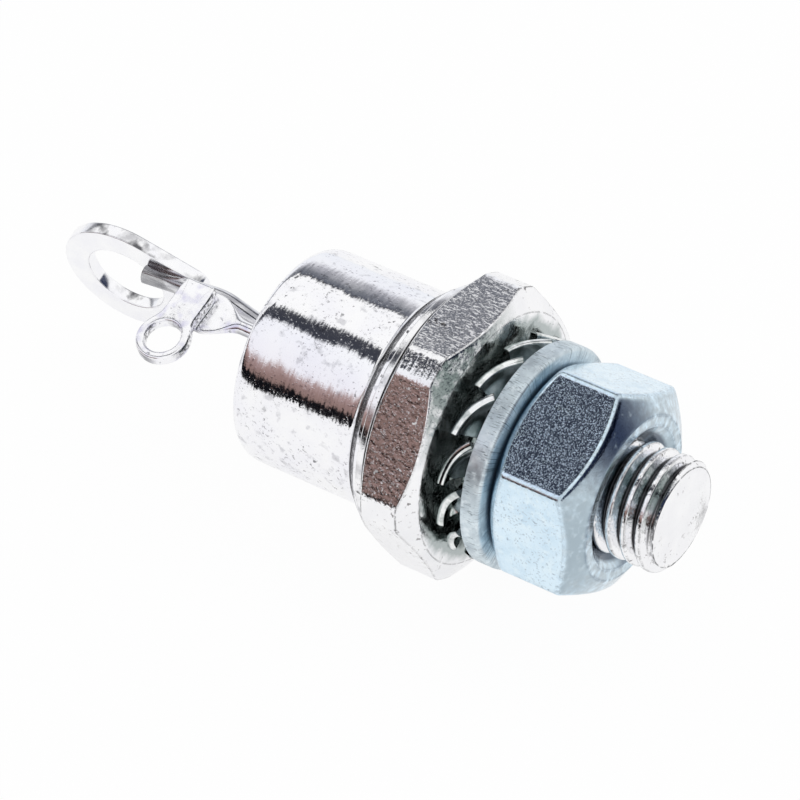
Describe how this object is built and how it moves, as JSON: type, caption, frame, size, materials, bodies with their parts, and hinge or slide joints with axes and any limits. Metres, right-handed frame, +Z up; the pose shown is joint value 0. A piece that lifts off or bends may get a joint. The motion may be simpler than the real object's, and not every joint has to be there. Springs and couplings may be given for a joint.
{
  "type": "stud-mounted thyristor",
  "caption": "Stud-mounted thyristor: metal can on a hex base with a threaded stud, a large and a small eyelet terminal, toothed lock washer, flat washer and nut.",
  "frame": {"origin": "on the device axis, in the seat face of the hex base that presses on the heat sink", "axes": "+X along the device axis toward the stud's free end, +Z up from the hex flat that it lies on, +Y completes the right-handed set"},
  "size_m": [0.0409, 0.0164, 0.015],
  "materials": {
    "nickel": "bright nickel plate over copper, rolled grain and fine scuffs",
    "can_nickel": "bright nickel plate over drawn steel, fine scratches",
    "ring_nickel": "nickel plate with fine turning lines",
    "seal": "dark compression glass, smooth",
    "sleeve_alloy": "matt nickel-iron tube",
    "tinned_copper": "tinned, satin, with small dark spots",
    "gate_plate": "tinned strip with sheared edges",
    "tooth_steel": "bright tin plate on spring bronze",
    "zinc": "blue-white zinc plate",
    "zinc_washer": "zinc plate with a sheared, finely grooved rim",
    "solder": "dull lead solder",
    "molybdenum": "ground grey disc",
    "silicon": "polished dark grey wafer",
    "coating": "soft white silicone bead",
    "copper": "bare copper wire",
    "sleeving": "white sleeving"
  },
  "bodies": {
    "root": {"stud_base": "nickel", "weld_ring": "ring_nickel", "can_shell": "can_nickel", "seal_glass": "seal", "cathode_sleeve": "sleeve_alloy", "gate_sleeve": "sleeve_alloy", "lower_solder": "solder", "lower_disc": "molybdenum", "die_solder": "solder", "silicon_die": "silicon", "upper_disc": "molybdenum", "die_coating": "coating", "cathode_lead": "tinned_copper", "cathode_lug": "tinned_copper", "gate_lead": "gate_plate", "gate_lug": "gate_plate", "gate_wire": "copper", "wire_sleeve": "sleeving", "lock_washer": "tooth_steel", "flat_washer": "zinc_washer", "hex_nut": "zinc"}
  },
  "joints": []
}
